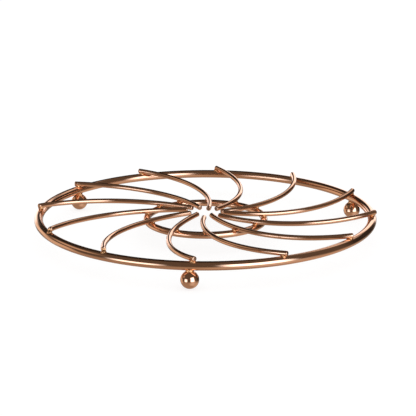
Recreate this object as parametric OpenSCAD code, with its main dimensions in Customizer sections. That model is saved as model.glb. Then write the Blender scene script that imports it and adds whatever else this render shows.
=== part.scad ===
// Round wire trivet: curved spokes lie across a rim and a small ring, on three ball feet.
// The origin is on the table under the middle of the rim, +Z up, and foot 1 points along -Y.
// All lengths are in millimetres.

/* [Rim] */
// Outside diameter of the rim
rim_d = 200; // [170:1:240]
// Thickness of the rim's wire
rim_wire_d = 5; // [4:0.1:7]

/* [Small ring] */
// Outside diameter of the small ring under the spokes
ring_d = 73; // [55:1:95]
// Thickness of the small ring's wire
ring_wire_d = 4.1; // [3:0.1:5]
// How far the small ring's wire lies below the rim's, middle to middle
ring_drop = 2.2; // [0.6:0.1:3]

/* [Spokes] */
// Number of spokes, the same number from each foot to the next
spoke_count = 12; // [6:3:12]
// Thickness of the spokes' wire
spoke_wire_d = 2.9; // [2:0.1:3.5]
// Radius that the spokes are bent to, at the middle of the wire
bend_r = 75; // [65:1:110]
// Diameter of the open eye, across the spokes' inner ends
eye_d = 19.5; // [18.5:0.5:30]
// Angle at which the spokes leave the eye, away from straight out
eye_lead = 6; // [0:0.5:15]
// How far the inner ends stand above the spokes' seats on the small ring
tip_rise = 0.4; // [0:0.1:1.5]
// How far the spokes run on past the middle of the rim's wire
overhang = 1.2; // [1:0.1:3]
// Chamfer round the cut ends
end_chamfer = 0.3; // [0.1:0.05:0.6]

/* [Feet] */
// Diameter of the ball feet
foot_d = 10; // [7:0.5:14]

/* [Welds] */
// Gap that each weld fills where two pieces come closest
weld_gap = 0.1; // [0.05:0.05:0.3]
// Width of the welds that hold the spokes to the rim
rim_weld_d = 2.8; // [1.8:0.1:3.4]
// Width of the welds that hold the spokes to the small ring
ring_weld_d = 2.6; // [1.8:0.1:3.4]
// Width of the welds that hold the feet to the rim
foot_weld_d = 4; // [3:0.1:4.8]

/* [Hidden] */
// Three feet never rock.
foot_count = 3;
foot_step = 360 / foot_count;
spoke_step = 360 / spoke_count;
first_angle = -90;

// The spokes are set by hand before they are welded, so none sits quite on the even spacing.
// Degrees round the rim from the even place, going round from the spoke over foot 1
set_off = [1, 0, -0.25, -1, -1.75, 0, 0.75, -0.25, -0.5, 1.5, 1.75, 1];
// Degrees that each spoke is swung about its place on the rim
swung = [-1.75, -1.25, -0.75, 0.25, 0.25, 0, 0, -0.5, -0.25, 2.75, 2.5, 0.25];
// How far each spoke is pushed outwards along its own bend
pushed = [0.75, 1.25, 0.5, 1.25, 0.75, -0.25, -0.75, 1, 1, 0.25, -1.25, -1.25];
// How far each spoke's inner end stands above or below the others
raised = [1, -0.5, 0.7, 0.3, 0.7, -0.6, 0, -0.9, -0.3, -0.7, -0.1, 0];
// Degrees that each foot is off its even place, going round from foot 1
foot_off = [0, -2.25, -1];

// Middles of the wires
rim_r = (rim_d - rim_wire_d) / 2;
ring_r = (ring_d - ring_wire_d) / 2;
eye_r = eye_d / 2;
rim_z = foot_d + weld_gap + rim_wire_d / 2;
ring_z = rim_z - ring_drop;
rim_seat_z = rim_z + (rim_wire_d + spoke_wire_d) / 2 + weld_gap;
ring_seat_z = ring_z + (ring_wire_d + spoke_wire_d) / 2 + weld_gap;

// A spoke's bend, seen from above. All angles at the centre of the bend grow outwards along it.
bend_reach = norm([eye_r - bend_r * sin(eye_lead), bend_r * cos(eye_lead)]);
seat_bend = bend_at(rim_r, bend_reach) - bend_at(eye_r, bend_reach);
overhang_bend = overhang / bend_r * 180 / PI;
wire_bend = seat_bend + overhang_bend;
// The bend that shapes the welds runs on past the whole of a weld, wherever its spoke ends.
weld_bend = seat_bend + rim_weld_d / bend_r * 180 / PI;
// Angle on the rim from the line to the middle of the trivet to the line to the bend's centre
rim_lean = acos((pow(rim_r, 2) + pow(bend_r, 2) - pow(bend_reach, 2)) / (2 * rim_r * bend_r));

// How far cutters reach past what they cut
overrun = 0.2;

rose_gold = [0.76, 0.54, 0.45];
weld_gold = [0.70, 0.44, 0.32];

$fn = 180;

// Node names end in a number of two digits, which goes round anticlockwise from foot 1.
function numbered(name, count) = [for (i = [1 : count]) str(name, i < 10 ? "_0" : "_", i)];
SPOKES = numbered("spoke", spoke_count);
FEET = numbered("foot", foot_count);
RIM_WELDS = numbered("rim_weld", spoke_count);
RING_WELDS = numbered("ring_weld", spoke_count);
FOOT_WELDS = numbered("foot_weld", foot_count);

// Angle at the bend's centre to where the wire is r from the middle of the trivet, which lies reach away
function bend_at(r, reach) = acos((pow(bend_r, 2) + pow(reach, 2) - pow(r, 2)) / (2 * bend_r * reach));

// Where spoke i crosses the rim, going round
function seat_angle(i) = first_angle + spoke_step * i + set_off[i];

// Where foot i stands, going round
function foot_angle(i) = first_angle + foot_step * i + foot_off[i];

// The functions and modules below place spoke i with its crossing of the rim on +X.
function rim_seat() = [rim_r, 0];
function rim_bend(i) = swung[i] - rim_lean;
function tip_bend(i) = rim_bend(i) - seat_bend;
function pushed_bend(i) = pushed[i] / bend_r * 180 / PI;
function bend_centre(i) = rim_seat() - bend_r * [cos(rim_bend(i)), sin(rim_bend(i))];
function wire_at(i, bend) = bend_centre(i) + bend_r * [cos(bend), sin(bend)];
function ring_bend(i) = let (c = bend_centre(i)) atan2(-c.y, -c.x) + bend_at(ring_r, norm(c));
function ring_seat(i) = wire_at(i, ring_bend(i));

// Slope, along X and Y, of the plane that spoke i's bend lies in, through its two seats
function slope(i) = let (
        u = ring_seat(i) - wire_at(i, tip_bend(i)),
        v = rim_seat() - ring_seat(i),
        rise = rim_seat_z - ring_seat_z,
        tip = tip_rise + raised[i],
        both = u.x * v.y - u.y * v.x
    ) [-tip * v.y - rise * u.y, rise * u.x + tip * v.x] / both;

module wire_ring(radius, wire_d, height) {
    translate([0, 0, height])
        rotate_extrude()
            translate([radius, 0])
                circle(d = wire_d);
}

module rim() {
    color(rose_gold) wire_ring(rim_r, rim_wire_d, rim_z);
}

module small_ring() {
    color(rose_gold) wire_ring(ring_r, ring_wire_d, ring_z);
}

// What a chamfer takes off a wire that is cut square at the origin and goes off along +Y
module chamfer_cutter() {
    rotate([-90, 0, 0])
        translate([0, 0, -overrun])
            difference() {
                cylinder(d = spoke_wire_d + 4 * overrun, h = end_chamfer + 2 * overrun);
                cylinder(
                    d1 = spoke_wire_d - 2 * (end_chamfer + overrun),
                    d2 = spoke_wire_d + 2 * overrun,
                    h = end_chamfer + 2 * overrun
                );
            }
}

// A wire round the centre of a spoke's bend, which starts on +X
module bent_wire(angle = wire_bend) {
    rotate_extrude(angle = angle)
        translate([bend_r, 0])
            circle(d = spoke_wire_d);
}

module chamfered_wire() {
    difference() {
        bent_wire();
        translate([bend_r, 0, 0]) chamfer_cutter();
        rotate([0, 0, wire_bend]) translate([bend_r, 0, 0]) rotate([0, 0, 180]) chamfer_cutter();
    }
}

// Puts a wire that lies round the centre of its bend where spoke i goes, before it is pushed along
module at_spoke(i) {
    seat = ring_seat(i);
    centre = bend_centre(i);
    lean = slope(i);
    rotate([0, 0, seat_angle(i)])
        translate([seat.x, seat.y, ring_seat_z])
            rotate(a = atan(norm(lean)), v = [lean.y, -lean.x, 0])
                translate([centre.x - seat.x, centre.y - seat.y, 0])
                    rotate([0, 0, tip_bend(i)])
                        children();
}

module spoke(i) {
    color(rose_gold) at_spoke(i) rotate([0, 0, pushed_bend(i)]) chamfered_wire();
}

module foot(i) {
    color(rose_gold)
        rotate([0, 0, foot_angle(i)])
            translate([rim_r, 0, foot_d / 2])
                sphere(d = foot_d);
}

// Each weld fills the narrow space between two rounded pieces and meets both face to face.
module rim_weld(i) {
    color(weld_gold)
        difference() {
            rotate([0, 0, seat_angle(i)])
                translate([rim_r, 0, rim_z])
                    cylinder(d = rim_weld_d, h = rim_seat_z - rim_z);
            rim();
            at_spoke(i) bent_wire(weld_bend);
        }
}

module ring_weld(i) {
    seat = ring_seat(i);
    color(weld_gold)
        difference() {
            rotate([0, 0, seat_angle(i)])
                translate([seat.x, seat.y, ring_z])
                    cylinder(d = ring_weld_d, h = ring_seat_z - ring_z);
            small_ring();
            at_spoke(i) bent_wire(weld_bend);
        }
}

module foot_weld(i) {
    color(weld_gold)
        difference() {
            rotate([0, 0, foot_angle(i)])
                translate([rim_r, 0, foot_d / 2])
                    cylinder(d = foot_weld_d, h = rim_z - foot_d / 2);
            rim();
            foot(i);
        }
}

rim();
small_ring();
for (i = [0 : spoke_count - 1]) spoke(i);
for (i = [0 : foot_count - 1]) foot(i);
for (i = [0 : spoke_count - 1]) rim_weld(i);
for (i = [0 : spoke_count - 1]) ring_weld(i);
for (i = [0 : foot_count - 1]) foot_weld(i);
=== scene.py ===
from contextlib import contextmanager
from math import acos, atan, atan2, cos, hypot, pi, radians, sin, sqrt, tau
from random import Random

import bpy
from bpy.props import FloatProperty, FloatVectorProperty, IntProperty, PointerProperty
from bpy.types import Operator, Panel, PropertyGroup
from mathutils import Matrix, Vector


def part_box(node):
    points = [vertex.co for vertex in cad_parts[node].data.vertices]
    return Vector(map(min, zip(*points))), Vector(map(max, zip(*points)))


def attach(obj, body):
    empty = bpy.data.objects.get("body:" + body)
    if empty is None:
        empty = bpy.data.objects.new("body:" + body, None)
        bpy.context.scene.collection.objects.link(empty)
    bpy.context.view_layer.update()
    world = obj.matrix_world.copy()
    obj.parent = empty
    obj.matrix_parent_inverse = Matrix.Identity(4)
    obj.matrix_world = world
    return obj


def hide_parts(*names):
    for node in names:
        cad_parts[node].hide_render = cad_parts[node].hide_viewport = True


bl_info = {
    "name": "Wire trivet",
    "version": (1, 0, 0),
    "blender": (4, 5, 0),
    "location": "View3D > Sidebar > Trivet",
    "description": "Models the wires, feet and welds of a round trivet and gives them their plating",
    "category": "Object",
}

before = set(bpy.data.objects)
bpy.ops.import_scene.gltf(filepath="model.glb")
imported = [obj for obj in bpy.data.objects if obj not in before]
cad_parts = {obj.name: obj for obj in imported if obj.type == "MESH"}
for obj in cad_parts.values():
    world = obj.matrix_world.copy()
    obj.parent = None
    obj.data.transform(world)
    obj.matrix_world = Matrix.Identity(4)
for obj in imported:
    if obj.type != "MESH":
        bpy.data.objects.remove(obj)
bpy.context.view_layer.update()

MM = 0.001
SPOKES = sorted(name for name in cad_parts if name.startswith("spoke_"))
FEET = sorted(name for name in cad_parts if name.startswith("foot_0"))
NUMBERS = [name.removeprefix("spoke_") for name in SPOKES]

# How far each spoke is pushed outwards along its own bend, in millimetres. The first is over the front
# foot, and the others follow anticlockwise as seen from above.
PUSHED = dict(zip(NUMBERS, (0.75, 1.25, 0.5, 1.25, 0.75, -0.25, -0.75, 1, 1, 0.25, -1.25, -1.25)))
# How far each spoke's inner end stands above or below the others, in millimetres
RAISED = dict(zip(NUMBERS, (1, -0.5, 0.7, 0.3, 0.7, -0.6, 0, -0.9, -0.3, -0.7, -0.1, 0)))


def length(name, description, default):
    """A length in metres, shown to a tenth of a millimetre."""
    return FloatProperty(name=name, description=description, default=default, unit="LENGTH", precision=4)


def in_degrees(name, description, default):
    """An angle whose default is given in degrees."""
    return FloatProperty(name=name, description=description, default=radians(default), subtype="ANGLE")


def tint(name, description, default):
    return FloatVectorProperty(
        name=name, description=description, default=default, subtype="COLOR", min=0, max=1
    )


class TrivetWires(PropertyGroup):
    bend_r: length("Bend radius", "Radius that the spokes are bent to, at the middle of the wire", 75 * MM)
    eye_d: length("Eye", "Diameter of the open eye, across the spokes' inner ends", 19.5 * MM)
    eye_lead: in_degrees("Eye lead", "Angle at which the spokes leave the eye, away from straight out", 6)
    tip_rise: length("Tip rise", "How far the inner ends stand above the seats on the small ring", 0.4 * MM)
    overhang: length("Overhang", "How far the spokes run on past the middle of the rim's wire", 1.2 * MM)
    spoke_wire_d: length("Spoke wire", "Thickness of the spokes' wire", 2.9 * MM)
    end_round: length("End rounding", "Rounding of the spokes' cut ends", 0.42 * MM)
    weld_gap: length("Weld gap", "Gap that each weld fills where two pieces come closest", 0.1 * MM)
    wear: length("Wear", "How deep the feet are worn flat where they stand", 0.008 * MM)
    sides: IntProperty(name="Sides", description="Faces round a wire", default=40, min=8)


class TrivetWelds(PropertyGroup):
    rim_bead: length("Rim bead", "Width of the beads between the spokes and the rim", 2.9 * MM)
    ring_bead: length("Ring bead", "Width of the beads between the spokes and the small ring", 2.7 * MM)
    foot_bead: length("Foot bead", "Width of the beads between the feet and the rim", 4.2 * MM)
    drops: IntProperty(name="Drops", description="Small drops fused into each bead", default=4, min=0)
    alike: IntProperty(
        name="Alike",
        description="Crossings of the small ring that share the shape of one bead",
        default=3,
        min=1,
    )
    voxel: length("Grain", "Size that the fused metal is resolved to", 0.14 * MM)
    smoothing: IntProperty(
        name="Smoothing", description="Rounds of smoothing of the fused metal", default=40, min=0
    )
    trim: length("Trim", "How far the beads go into what they join", 0.01 * MM)
    reach: length("Reach", "How far round a weld the fused wires are taken", 3.6 * MM)
    seed: IntProperty(name="Seed", description="Starts the beads' random shapes", default=7)


class TrivetFinish(PropertyGroup):
    plating: tint("Plating", "Colour of the polished plating", (0.74, 0.41, 0.25))
    # The weld tint is darker and more orange than the plating. That is painted reflection, standing in for
    # the orange glints of the wires mirrored in each other
    weld: tint("Weld", "Colour of the plated weld beads", (0.72, 0.36, 0.16))
    roughness: FloatProperty(
        name="Roughness", description="Roughness of the polished wire", default=0.1, min=0, max=1
    )


class TrivetStage(PropertyGroup):
    distance: length("Camera distance", "From the middle of the rim to the camera", 862.3 * MM)
    elevation: in_degrees("Elevation", "Angle at which the camera looks down", 15.67)
    turn: in_degrees("Turn", "Angle that the camera stands round from the front foot", 4.76)
    aside: length("Aside", "How far the camera stands to the right of the line to the middle", 1.51 * MM)
    above: length("Above", "How far the camera stands above the line to the middle", 4.01 * MM)
    lens: FloatProperty(name="Lens", description="Focal length in millimetres", default=126.9)


PROPERTY_GROUPS = {
    "trivet_wires": TrivetWires,
    "trivet_welds": TrivetWelds,
    "trivet_finish": TrivetFinish,
    "trivet_stage": TrivetStage,
}


# Where things are, from the frame


def middle(node):
    low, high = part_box(node)
    return (low + high) / 2


def seats(number):
    """Where a spoke sits on the rim and on the small ring, seen from above."""
    return middle("rim_weld_" + number).to_2d(), middle("ring_weld_" + number).to_2d()


def azimuth(place):
    return atan2(place.y, place.x)


def turned(angle):
    return Vector((cos(angle), sin(angle)))


def bend_at(bend_r, radius, reach):
    """Angle at a bend's centre to where the wire is radius from the trivet's middle, itself reach away."""
    return acos((bend_r**2 + reach**2 - radius**2) / (2 * bend_r * reach))


class Ring:
    """A ring of round wire as the frame has it."""

    def __init__(self, node):
        low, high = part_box(node)
        self.wire_r = (high.z - low.z) / 2
        self.height = (high.z + low.z) / 2
        self.radius = (high.x - low.x) / 2 - self.wire_r

    def near(self, place, reach, less, sides):
        """A stretch of the ring, reach to each side of a place, with its wire thinner by less all round."""
        half = reach / self.radius
        start = azimuth(place) - half
        wire_r = self.wire_r - less
        return wire("ring_stretch", self.radius, wire_r, self.height, start, 2 * half, sides, STRETCH_FACETS)


class Bend:
    """The bend that all the spokes share, with angles measured at its centre from the inner end."""

    def __init__(self, wires, rim, small_ring):
        self.radius = wires.bend_r
        self.wire_r = wires.spoke_wire_d / 2
        eye_r = wires.eye_d / 2
        across = eye_r - self.radius * sin(wires.eye_lead)
        reach = hypot(across, self.radius * cos(wires.eye_lead))
        self.seat = bend_at(self.radius, rim.radius, reach) - bend_at(self.radius, eye_r, reach)
        self.whole = self.seat + wires.overhang / self.radius
        self.rim_seat_z = rim.height + rim.wire_r + self.wire_r + wires.weld_gap
        self.ring_seat_z = small_ring.height + small_ring.wire_r + self.wire_r + wires.weld_gap
        self.tip_rise = wires.tip_rise

    def place(self, number):
        """Matrix that lays a wire, bent round the Z axis with its inner end on +X, where a spoke goes.

        It leans so that it lies on both seats and its inner end stands above the seat on the small ring.
        """
        rim_seat, ring_seat = seats(number)
        tip_rise = self.tip_rise + RAISED[number] * MM
        chord = ring_seat - rim_seat
        aside = sqrt(self.radius**2 - chord.length_squared / 4)
        centre = (rim_seat + ring_seat) / 2 + Vector((chord.y, -chord.x)).normalized() * aside
        tip_angle = azimuth(rim_seat - centre) - self.seat
        inner = ring_seat - centre - self.radius * turned(tip_angle)
        outer = rim_seat - ring_seat
        rise = self.rim_seat_z - self.ring_seat_z
        both = inner.x * outer.y - inner.y * outer.x
        lean = Vector((
            (-tip_rise * outer.y - rise * inner.y) / both,
            (rise * inner.x + tip_rise * outer.x) / both,
        ))
        return (
            Matrix.Translation((ring_seat.x, ring_seat.y, self.ring_seat_z))
            @ Matrix.Rotation(atan(lean.length), 4, Vector((lean.y, -lean.x, 0)))
            @ Matrix.Translation((centre - ring_seat).to_3d())
            @ Matrix.Rotation(tip_angle + PUSHED[number] * MM / self.radius, 4, "Z")
        )

    def slant(self, matrix, place):
        """Angle between the spoke that matrix lays, at a place on it, and the line out from the middle."""
        local = matrix.inverted() @ place
        along = matrix.to_3x3() @ Vector((-local.y, local.x, 0))
        return azimuth(along) - azimuth(place)

    def near(self, matrix, place, reach, less, sides):
        """A stretch of the spoke that matrix lays, as a ring's, but cut off where the spoke ends."""
        middle_angle = azimuth(matrix.inverted() @ place)
        start = middle_angle - reach / self.radius
        end = min(middle_angle + reach / self.radius, self.whole - less / self.radius)
        wire_r = self.wire_r - less
        piece = wire("spoke_stretch", self.radius, wire_r, 0, start, end - start, sides, STRETCH_FACETS)
        piece.data.transform(matrix)
        return piece


# Modelling steps

# Angle that each facet along a bent wire takes
FACET = radians(1)
# Facets along a stretch of wire that a bead is fused to
STRETCH_FACETS = 24
# Points this close together are one
SAME_POINT = 0.001 * MM
# Points this close to a cutting plane lie on it
ON_PLANE = 0.0001 * MM
# Cuts across each side of the cube that a ball is made from
BALL_CUTS = 23
# Facets across the rounding of a cut end, and how full it is
END_FACETS, END_FULLNESS = 4, 0.4
# Edges that turn more than this stay sharp
SHARP = radians(50)
# How far a drop lies out from a bead's middle, and how large it is, as shares of half the bead's width
DROP_OUT, DROP_SIZE = (0.45, 0.75), (0.35, 0.55)
# How far a drop lies up or down from a bead's middle, as a share of the bead's height
DROP_UP = (-0.2, 0.2)
# Height of a bead, as a share of its width
CROSSING_BEAD_HEIGHT, FOOT_BEAD_HEIGHT = 0.7, 0.6


def select_none():
    bpy.ops.object.select_all(action="DESELECT")


def only(piece):
    if bpy.context.selected_objects != [piece]:
        select_none()
        piece.select_set(True)
    bpy.context.view_layer.objects.active = piece


@contextmanager
def editing(piece, wanted=None):
    """Edit mode on a piece, with all of it selected or only the faces that are wanted."""
    only(piece)
    bpy.ops.object.mode_set(mode="EDIT")
    bpy.ops.mesh.select_all(action="DESELECT" if wanted else "SELECT")
    if wanted:
        bpy.ops.object.mode_set(mode="OBJECT")
        for face in piece.data.polygons:
            face.select = wanted(face)
        bpy.ops.object.mode_set(mode="EDIT")
    yield
    bpy.ops.object.mode_set(mode="OBJECT")


def named(name):
    """The piece that was added last, under its own name."""
    piece = bpy.context.object
    piece.name = piece.data.name = name
    return piece


def apply_place(piece):
    only(piece)
    bpy.ops.object.transform_apply()


def apply_modifiers(piece):
    only(piece)
    for modifier in list(piece.modifiers):
        bpy.ops.object.modifier_apply(modifier=modifier.name)


def outward(piece):
    """Merges doubles and turns the faces outwards."""
    with editing(piece):
        bpy.ops.mesh.remove_doubles(threshold=SAME_POINT)
        bpy.ops.mesh.normals_make_consistent(inside=False)


def join(pieces):
    """Joins pieces into the first."""
    only(pieces[0])
    for piece in pieces:
        piece.select_set(True)
    bpy.ops.object.join()
    return pieces[0]


def delete(*pieces):
    select_none()
    for piece in pieces:
        piece.select_set(True)
    bpy.ops.object.delete()


def largest(piece):
    """The largest of a piece's loose parts, without the others."""
    with editing(piece):
        bpy.ops.mesh.separate(type="LOOSE")
    *others, kept = sorted(bpy.context.selected_objects, key=lambda part: len(part.data.vertices))
    if others:
        delete(*others)
    return kept


def copied(piece, name, matrix):
    """A copy of a piece with its own mesh, placed by a matrix."""
    copy = piece.copy()
    copy.data = piece.data.copy()
    copy.name = copy.data.name = name
    bpy.context.collection.objects.link(copy)
    copy.data.transform(matrix)
    return copy


def finished(piece, node, material):
    """Smooths a piece, gives it its material and lets it stand for its node."""
    only(piece)
    bpy.ops.object.shade_smooth_by_angle(angle=SHARP)
    piece.data.materials.clear()
    piece.data.materials.append(material)
    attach(piece, "root")
    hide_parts(node)


def wire(name, radius, wire_r, height, start, angle, sides, facets=None):
    """A round wire bent round the Z axis: a section spun from the start angle through another.

    A whole turn closes on itself, and less than that has two flat ends.
    """
    select_none()
    bpy.ops.mesh.primitive_circle_add(
        vertices=sides,
        radius=wire_r,
        location=(radius * cos(start), radius * sin(start), height),
        rotation=(pi / 2, 0, start),
    )
    piece = named(name)
    apply_place(piece)
    with editing(piece):
        if angle < tau:
            bpy.ops.mesh.edge_face_add()
        steps = facets or round(angle / FACET)
        bpy.ops.mesh.spin(steps=steps, angle=angle, center=(0, 0, 0), axis=(0, 0, -1))
    outward(piece)
    return piece


def ball(name, radius, wear):
    """A ball of even faces round the origin: a cube divided, cast round and worn flat at the bottom."""
    select_none()
    bpy.ops.mesh.primitive_cube_add(size=radius)
    piece = named(name)
    with editing(piece):
        bpy.ops.mesh.subdivide(number_cuts=BALL_CUTS)
    cast = piece.modifiers.new("cast", "CAST")
    cast.cast_type = "SPHERE"
    cast.factor = 1
    cast.use_radius_as_size = False
    cast.size = radius
    apply_modifiers(piece)
    with editing(piece):
        bpy.ops.mesh.bisect(
            plane_co=(0, 0, wear - radius),
            plane_no=(0, 0, -1),
            clear_outer=True,
            use_fill=True,
            threshold=ON_PLANE,
        )
    outward(piece)
    return piece


def is_end(face):
    """Whether a wire's face is one of its two cut ends, its only faces with more than four corners."""
    return len(face.vertices) > 4


def round_ends(piece, size):
    """Bevels the edges round the two cut ends of a wire."""
    with editing(piece, is_end):
        bpy.ops.mesh.bevel(offset=size, segments=END_FACETS, profile=END_FULLNESS, affect="EDGES")


def mark_run(piece, radius, height, seamed):
    """Stores on each face corner where it lies on the wire as if the wire were straight.

    That is along, across and up. A second attribute is one on the cut ends and nought elsewhere. A ring is
    seamed where its angle jumps by a whole turn, and the faces there keep their corners on one side of it.
    """
    mesh = piece.data
    mesh.attributes.new("run", "FLOAT_VECTOR", "CORNER")
    mesh.attributes.new("cut", "FLOAT", "CORNER")
    run, cut = mesh.attributes["run"].data, mesh.attributes["cut"].data
    for face in mesh.polygons:
        turn = azimuth(face.center)
        for corner in face.loop_indices:
            cut[corner].value = 1.0 if is_end(face) else 0.0
            point = mesh.vertices[mesh.loops[corner].vertex_index].co
            angle = azimuth(point)
            if seamed:
                angle += tau * round((turn - angle) / tau)
            run[corner].vector = (
                radius * angle,
                hypot(point.x, point.y) - radius,
                point.z - height,
            )


def weld_bead(parts, place, width, height, welds, random):
    """A bead of weld metal between two parts: they and a few drops are fused, smoothed, and cut away again.

    parts is a function that makes both parts, thinner by what it is given.
    """
    pieces = parts(0)
    drops = [(Vector((0, 0, 0)), width / 2, height / 2)]
    for _ in range(welds.drops):
        turn = random.uniform(0, tau)
        out = random.uniform(*DROP_OUT) * width / 2
        offset = Vector((out * cos(turn), out * sin(turn), random.uniform(*DROP_UP) * height))
        size = random.uniform(*DROP_SIZE) * width / 2
        drops.append((offset, size, size))
    for offset, across, up in drops:
        select_none()
        bpy.ops.mesh.primitive_ico_sphere_add(subdivisions=3, radius=1, location=place + offset)
        drop = named("drop")
        drop.scale = (across, across, up)
        apply_place(drop)
        pieces.append(drop)
    bead = join(pieces)
    fused = bead.modifiers.new("fused", "REMESH")
    fused.mode = "VOXEL"
    fused.voxel_size = welds.voxel
    smoothed = bead.modifiers.new("smoothed", "SMOOTH")
    smoothed.factor = 0.5
    smoothed.iterations = welds.smoothing
    cutters = parts(welds.trim)
    for cutter in cutters:
        cut = bead.modifiers.new("cut", "BOOLEAN")
        cut.operation = "DIFFERENCE"
        cut.solver = "MANIFOLD"
        cut.object = cutter
    apply_modifiers(bead)
    delete(*cutters)
    return largest(bead)


# Materials

# How often each kind of mark repeats in a metre: along, across and up, or the same in all directions
DRAWING_LINES = (25.0, 2600.0, 2600.0)
WAVES = (90.0, 500.0, 500.0)
CUT_MARKS = (400.0, 400.0, 4000.0)
GRAIN, BEAD_GRAIN = 2500.0, 5000.0
WIRE_PATCHES, BALL_PATCHES = 45.0, 200.0
BEAD_RIPPLES = 900.0
# The darkest and palest patches and the cut ends, as shares of the finish's colour
PLATING_SHADES, BEAD_SHADES = (0.94, 1.06), (0.85, 1.1)
CUT_SHADE = 0.45
# Roughness of the balls and the beads, times the wire's
BALL_ROUGHNESS, BEAD_ROUGHNESS = 0.9, 4.0
# How deep the marks are on polished plating and on a bead, where their height is one
POLISHED_DEPTH, BEAD_DEPTH = 0.001 * MM, 0.01 * MM


class Socket:
    """A value in a node tree. Arithmetic on it adds Math nodes."""

    def __init__(self, tree, socket):
        self.tree = tree
        self.socket = socket

    def maths(self, operation, *others):
        return self.tree.add("ShaderNodeMath", self, *others, settings={"operation": operation})

    def __add__(self, other):
        return self.maths("ADD", other)

    def __sub__(self, other):
        return self.maths("SUBTRACT", other)

    def __rsub__(self, other):
        return self.maths("MULTIPLY", -1.0) + other

    def __mul__(self, other):
        return self.maths("MULTIPLY", other)

    __radd__ = __add__
    __rmul__ = __mul__

    def clamped(self):
        return self.maths("MAXIMUM", 0.0).maths("MINIMUM", 1.0)


class Tree:
    """The nodes of a material or a world."""

    def __init__(self, owner, output="ShaderNodeOutputMaterial"):
        owner.use_nodes = True
        self.owner = owner
        self.nodes = owner.node_tree.nodes
        self.links = owner.node_tree.links
        self.nodes.clear()
        self.output = self.nodes.new(output)

    def add(self, kind, *values, settings=None, out=None, **named_values):
        """Adds a node, with its settings first, then what its sockets take, by order or by name.

        It gives back the output that out names, or else the first.
        """
        node = self.nodes.new(kind)
        for key, value in (settings or {}).items():
            setattr(node, key, value)
        for socket, value in zip([socket for socket in node.inputs if socket.enabled], values):
            self.feed(socket, value)
        for name, value in named_values.items():
            self.feed(node.inputs[name], value)
        outputs = {socket.name: socket for socket in node.outputs if socket.enabled}
        return Socket(self, outputs[out or next(iter(outputs))])

    def feed(self, socket, value):
        if isinstance(value, Socket):
            self.links.new(value.socket, socket)
        else:
            socket.default_value = value

    def mixed(self, factor, first, second):
        """A colour between two."""
        settings = {"data_type": "RGBA", "clamp_factor": True}
        return self.add("ShaderNodeMix", factor, first, second, settings=settings)

    def shaded(self, mask, colour, shades):
        """A colour between its darkest and its palest shade."""
        darkest, palest = shades
        return self.mixed(mask.clamped(), rgba(colour, darkest), rgba(colour, palest))

    def step(self, value, edge, soft):
        """Nought below an edge and one above it, with a soft change between."""
        settings = {"interpolation_type": "SMOOTHSTEP"}
        return self.add(
            "ShaderNodeMapRange", value, edge - soft / 2, edge + soft / 2, 0.0, 1.0, settings=settings
        )

    def noise(self, place, scale, detail):
        """Noise with mean nought, roughly from -1 to 1."""
        value = self.add("ShaderNodeTexNoise", Vector=place, Scale=scale, Detail=detail, out="Fac")
        return (value - 0.5) * 2.0

    def stretched_noise(self, place, scales, detail):
        """Noise with its own scale along each axis."""
        stretched = self.add("ShaderNodeVectorMath", place, scales, settings={"operation": "MULTIPLY"})
        return self.noise(stretched, 1.0, detail)

    def finish(self, shader):
        self.links.new(shader.socket, self.output.inputs["Surface"])
        return self.owner

    def finish_metal(self, colour, roughness, height, depth):
        """Bare metal, with marks as deep as depth where their height is one."""
        bump = self.add("ShaderNodeBump", Strength=1.0, Distance=depth, Height=height)
        looks = {"Base Color": colour, "Metallic": 1.0, "Roughness": roughness.clamped(), "Normal": bump}
        return self.finish(self.add("ShaderNodeBsdfPrincipled", **looks))


def rgba(colour, strength=1.0):
    return [*(channel * strength for channel in colour), 1.0]


def plated_wire(finish):
    """Rose-gold plating over drawn wire: mirror bright, with faint drawing lines along it and slow waves.

    The cut ends are duller and darker, with the marks of the cut.
    """
    tree = Tree(bpy.data.materials.new("plated_wire"))
    run = tree.add("ShaderNodeAttribute", settings={"attribute_name": "run"}, out="Vector")
    cut = tree.add("ShaderNodeAttribute", settings={"attribute_name": "cut"}, out="Fac")
    place = tree.add("ShaderNodeTexCoord", out="Object")
    lines = tree.stretched_noise(run, DRAWING_LINES, 3.0)
    waves = tree.stretched_noise(run, WAVES, 1.0)
    marks = tree.stretched_noise(place, CUT_MARKS, 2.0)
    grain = tree.noise(place, GRAIN, 2.0)
    patches = tree.noise(place, WIRE_PATCHES, 3.0)
    colour = tree.shaded(patches * 0.35 + lines * 0.15 + 0.5, finish.plating, PLATING_SHADES)
    colour = tree.mixed(cut, colour, rgba(finish.plating, CUT_SHADE))
    roughness = lines * 0.03 + grain * 0.015 + patches * 0.02 + cut * 0.3 + finish.roughness
    height = waves * 1.2 + lines * 0.25 + grain * 0.1 + cut * marks * 6.0
    return tree.finish_metal(colour, roughness, height, POLISHED_DEPTH)


def plated_ball(finish):
    """The same plating on a turned ball."""
    tree = Tree(bpy.data.materials.new("plated_ball"))
    place = tree.add("ShaderNodeTexCoord", out="Object")
    grain = tree.noise(place, GRAIN, 2.0)
    patches = tree.noise(place, BALL_PATCHES, 3.0)
    colour = tree.shaded(patches * 0.4 + 0.5, finish.plating, PLATING_SHADES)
    roughness = grain * 0.02 + patches * 0.02 + finish.roughness * BALL_ROUGHNESS
    return tree.finish_metal(colour, roughness, patches * 2.0 + grain * 0.1, POLISHED_DEPTH)


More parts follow.
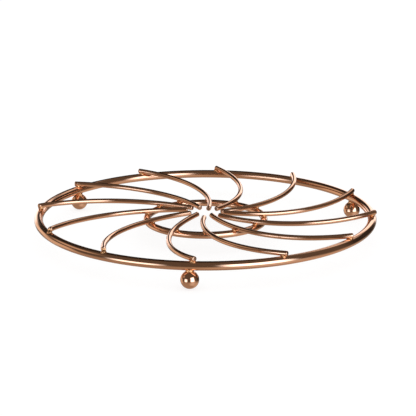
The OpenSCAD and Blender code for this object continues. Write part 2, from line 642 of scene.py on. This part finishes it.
def plated_bead(finish):
    """Plating over weld metal, which stays a little rippled and duller than the wire. Its colour is darker
    and more orange than the wire's plating. That difference is painted reflection: it stands in for the
    orange glints that the wires make by mirroring each other.
    """
    tree = Tree(bpy.data.materials.new("plated_bead"))
    place = tree.add("ShaderNodeTexCoord", out="Object")
    ripples = tree.noise(place, BEAD_RIPPLES, 2.0)
    grain = tree.noise(place, BEAD_GRAIN, 2.0)
    # Painted reflection: the weld tint's deeper orange stands in for the glints of the wires mirrored in
    # each other
    colour = tree.shaded(ripples * 0.4 + 0.5, finish.weld, BEAD_SHADES)
    roughness = ripples * 0.05 + grain * 0.03 + finish.roughness * BEAD_ROUGHNESS
    return tree.finish_metal(colour, roughness, ripples * 2.0 + grain * 0.3, BEAD_DEPTH)


def material(make, scene):
    """A finish, made the first time that a piece asks for it."""
    return bpy.data.materials.get(make.__name__) or make(scene.trivet_finish)


# Pieces


class AddRings(Operator):
    """Adds the rim and the small ring, each one closed ring of wire."""

    bl_idname = "trivet.add_rings"
    bl_label = "Rings"

    def execute(self, context):
        sides = context.scene.trivet_wires.sides
        for node in ("rim", "small_ring"):
            ring = Ring(node)
            piece = wire(node + "_wire", ring.radius, ring.wire_r, ring.height, 0, tau, sides)
            mark_run(piece, ring.radius, ring.height, seamed=True)
            finished(piece, node, material(plated_wire, context.scene))
        return {"FINISHED"}


class AddSpokes(Operator):
    """Bends one spoke, rounds its ends and lays a copy on each pair of seats."""

    bl_idname = "trivet.add_spokes"
    bl_label = "Spokes"

    def execute(self, context):
        wires = context.scene.trivet_wires
        bend = Bend(wires, Ring("rim"), Ring("small_ring"))
        pattern = wire("spoke_pattern", bend.radius, bend.wire_r, 0, 0, bend.whole, wires.sides)
        round_ends(pattern, wires.end_round)
        mark_run(pattern, bend.radius, 0, seamed=False)
        for number in NUMBERS:
            piece = copied(pattern, "spoke_wire_" + number, bend.place(number))
            finished(piece, "spoke_" + number, material(plated_wire, context.scene))
        delete(pattern)
        return {"FINISHED"}


class AddFeet(Operator):
    """Turns one ball, wears a small flat on it where it stands, and copies it to each foot."""

    bl_idname = "trivet.add_feet"
    bl_label = "Feet"

    def execute(self, context):
        # A ball stands on the table, so its middle is as high as its radius
        ball_r = middle(FEET[0]).z
        pattern = ball("ball_pattern", ball_r, context.scene.trivet_wires.wear)
        for node in FEET:
            piece = copied(pattern, "ball_" + node, Matrix.Translation(middle(node)))
            finished(piece, node, material(plated_ball, context.scene))
        delete(pattern)
        return {"FINISHED"}


class AddCrossingWelds(Operator):
    """Welds each spoke to the rim and to the small ring.

    Crossings of the small ring whose slants are most alike share one bead's shape.
    """

    bl_idname = "trivet.add_crossing_welds"
    bl_label = "Crossing welds"

    def execute(self, context):
        scene = context.scene
        wires, welds = scene.trivet_wires, scene.trivet_welds
        rim, small_ring = Ring("rim"), Ring("small_ring")
        bend = Bend(wires, rim, small_ring)
        places = {number: bend.place(number) for number in NUMBERS}
        random = Random(welds.seed)
        beads = (
            ("rim_weld_", rim, welds.rim_bead, 1),
            ("ring_weld_", small_ring, welds.ring_bead, welds.alike),
        )
        for kind, ring, width, alike in beads:
            height = ring.height + ring.wire_r + wires.weld_gap / 2
            crossing = {number: middle(kind + number) for number in NUMBERS}
            order = sorted(NUMBERS, key=lambda number: bend.slant(places[number], crossing[number]))
            for first in range(0, len(order), alike):
                group = order[first : first + alike]
                model = group[len(group) // 2]
                place = Vector((*crossing[model].to_2d(), height))

                def parts(less):
                    return [
                        ring.near(place, welds.reach, less, wires.sides),
                        bend.near(places[model], place, welds.reach, less, wires.sides),
                    ]

                bead = weld_bead(parts, place, width, CROSSING_BEAD_HEIGHT * width, welds, random)
                for number in group:
                    turn = Matrix.Rotation(azimuth(crossing[number]) - azimuth(place), 4, "Z")
                    piece = copied(bead, "bead_" + kind + number, turn)
                    finished(piece, kind + number, material(plated_bead, scene))
                delete(bead)
        return {"FINISHED"}


class AddFootWelds(Operator):
    """Welds one foot under the rim and copies the bead to the others."""

    bl_idname = "trivet.add_foot_welds"
    bl_label = "Foot welds"

    def execute(self, context):
        scene = context.scene
        wires, welds = scene.trivet_wires, scene.trivet_welds
        rim = Ring("rim")
        centre = middle(FEET[0])
        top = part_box(FEET[0])[1].z
        place = Vector((*centre.to_2d(), top + wires.weld_gap / 2))

        def parts(less):
            stretch = ball("ball_stretch", centre.z - less, wires.wear)
            stretch.data.transform(Matrix.Translation(centre))
            return [rim.near(place, welds.reach, less, wires.sides), stretch]

        width = welds.foot_bead
        random = Random(welds.seed + 1)
        bead = weld_bead(parts, place, width, FOOT_BEAD_HEIGHT * width, welds, random)
        for node in FEET:
            kind = node.replace("foot", "foot_weld")
            turn = Matrix.Rotation(azimuth(middle(node)) - azimuth(place), 4, "Z")
            finished(copied(bead, "bead_" + kind, turn), kind, material(plated_bead, scene))
        delete(bead)
        return {"FINISHED"}


# The stage

# Tints of the studio's light
WHITE = (1.0, 1.0, 1.0)
WARM = (1.0, 0.86, 0.72)
PALE = (1.0, 0.95, 0.94)
COOL = (0.85, 1.0, 1.2)


class Window:
    """A soft-edged area of the studio, as the plating mirrors it, over those that come before it.

    Angles are in degrees. Its middle is turned from straight behind the trivet, leftwards as the camera
    sees it. It goes half to each side of that, and from low to high above the table's level. Its edges
    are soft for so many degrees sideways and upwards.
    """

    def __init__(self, turn, half, low, high, soft, level, colour):
        self.turn, self.half, self.low, self.high = (radians(angle) for angle in (turn, half, low, high))
        self.soft_sideways, self.soft_upwards = (radians(angle) for angle in soft)
        self.colour = rgba(colour, level)

    def over(self, tree, colour, turn, height):
        """The colour with the window laid over it, for a ray's turn and height."""
        aside = (turn - self.turn).maths("WRAP", pi, -pi).maths("ABSOLUTE")
        inside = (
            (1 - tree.step(aside, self.half, self.soft_sideways))
            * tree.step(height, self.low, self.soft_upwards)
            * (1 - tree.step(height, self.high, self.soft_upwards))
        )
        return tree.mixed(inside, colour, self.colour)


STUDIO = {
    "table in front": Window(-95, 88, -60, -29, (27, 18), 0.66, WARM),
    "table behind": Window(63, 21, -30, 2, (13, 5), 0.84, WARM),
    "dark behind": Window(-51, 21, -17, 27, (18, 14), 0.035, WARM),
    "dark above": Window(17, 40, -6, 80, (15, 22), 0.03, WARM),
    "left glow": Window(75, 23, 19, 34, (27, 14), 0.80, WARM),
    "right glow": Window(-31, 13, 30, 47, (13, 13), 1.05, PALE),
    "far left window": Window(38, 18, -12, 12, (19, 9), 1.02, WARM),
    "left window": Window(19, 8, -12, 12, (8, 14), 1.75, PALE),
    "right window": Window(-15, 12, -7, 26, (5, 10), 1.65, PALE),
    "left box": Window(134, 16, -17, 14, (15, 7), 3.0, COOL),
    "below the right box": Window(-135, 27, -60, -8, (38, 11), 0.78, PALE),
    "right box": Window(-145, 22, -13, 36, (14, 10), 3.8, COOL),
}
# What is round the windows: its level low down and high up, where it changes, and over how many degrees
LOW_LEVEL, HIGH_LEVEL = 0.45, 0.13
CHANGE_AT, CHANGE_OVER = -20, 28

# The table's size, its grey, and the glow that keeps it white, of which it is mostly made
TABLE_R, TABLE_SIDES = 6, 96
TABLE_GREY, TABLE_GLOW, TABLE_GLOW_SHARE = 0.9, 1.1, 0.72
# The camera's sensor in millimetres, and how far it sees in metres
SENSOR, SIGHT = 36, 100


def facing(turn, elevation):
    """Rotation of a camera that looks at the trivet from a turn round it and an elevation."""
    return Matrix.Rotation(turn, 3, "Z") @ Matrix.Rotation(pi / 2 - elevation, 3, "X")


def pale_table():
    """White to the camera, with the trivet's soft shadow."""
    tree = Tree(bpy.data.materials.new("pale_table"))
    matt = tree.add("ShaderNodeBsdfDiffuse", Color=rgba(WHITE, TABLE_GREY))
    glow = tree.add("ShaderNodeEmission", Color=rgba(WHITE), Strength=TABLE_GLOW)
    return tree.finish(tree.add("ShaderNodeMixShader", TABLE_GLOW_SHARE, matt, glow))


def studio(stage):
    """White to the camera and a plain level to matt surfaces, while the plating mirrors the studio."""
    tree = Tree(bpy.data.worlds.new("studio"), "ShaderNodeOutputWorld")
    direction = tree.add("ShaderNodeTexCoord", out="Generated")
    x, y, z = (tree.add("ShaderNodeSeparateXYZ", direction, out=axis) for axis in "XYZ")
    turn = y.maths("ARCTAN2", x) - pi / 2 - stage.turn
    height = z.maths("ARCSINE")
    high_up = tree.step(height, radians(CHANGE_AT), radians(CHANGE_OVER))
    colour = tree.mixed(high_up, rgba(WARM, LOW_LEVEL), rgba(WARM, HIGH_LEVEL))
    for window in STUDIO.values():
        colour = window.over(tree, colour, turn, height)
    mirrored = tree.add("ShaderNodeBackground", Color=colour, Strength=1.0)
    plain = tree.add("ShaderNodeBackground", Color=rgba(WHITE), Strength=1.0)
    glossy = tree.add("ShaderNodeLightPath", out="Is Glossy Ray")
    return tree.finish(tree.add("ShaderNodeMixShader", glossy, plain, mirrored))


class SetStage(Operator):
    """Adds the table, the studio round it and the camera."""

    bl_idname = "trivet.set_stage"
    bl_label = "Stage"

    def execute(self, context):
        scene = context.scene
        stage = scene.trivet_stage
        scene.view_settings.view_transform = "Standard"
        scene.world = studio(stage)

        select_none()
        bpy.ops.mesh.primitive_circle_add(vertices=TABLE_SIDES, radius=TABLE_R, fill_type="NGON")
        table = named("table")
        table.data.materials.append(pale_table())
        table.visible_glossy = False

        target = Vector((0, 0, Ring("rim").height))
        view = facing(stage.turn, stage.elevation)
        bpy.ops.object.camera_add(
            location=target + view @ Vector((stage.aside, stage.above, stage.distance)),
            rotation=view.to_euler(),
        )
        scene.camera = context.object
        scene.camera.data.sensor_width = SENSOR
        scene.camera.data.lens = stage.lens
        scene.camera.data.clip_end = SIGHT
        return {"FINISHED"}


# The sidebar and the run


class TrivetPanel(Panel):
    """Lists the steps that make the trivet, and its sizes and colours."""

    bl_idname = "VIEW3D_PT_trivet"
    bl_label = "Wire trivet"
    bl_space_type = "VIEW_3D"
    bl_region_type = "UI"
    bl_category = "Trivet"

    def draw(self, context):
        for operator in OPERATORS:
            self.layout.operator(operator.bl_idname)
        for name, group in PROPERTY_GROUPS.items():
            box = self.layout.box()
            for key in group.__annotations__:
                box.prop(getattr(context.scene, name), key)


OPERATORS = (SetStage, AddRings, AddSpokes, AddFeet, AddCrossingWelds, AddFootWelds)
CLASSES = (*PROPERTY_GROUPS.values(), *OPERATORS, TrivetPanel)


def register():
    for each in CLASSES:
        bpy.utils.register_class(each)
    for name, group in PROPERTY_GROUPS.items():
        setattr(bpy.types.Scene, name, PointerProperty(type=group))


def unregister():
    for name in PROPERTY_GROUPS:
        delattr(bpy.types.Scene, name)
    for each in reversed(CLASSES):
        bpy.utils.unregister_class(each)


def main():
    register()
    for operator in OPERATORS:
        category, name = operator.bl_idname.split(".")
        getattr(getattr(bpy.ops, category), name)()


if __name__ == "__main__":
    main()
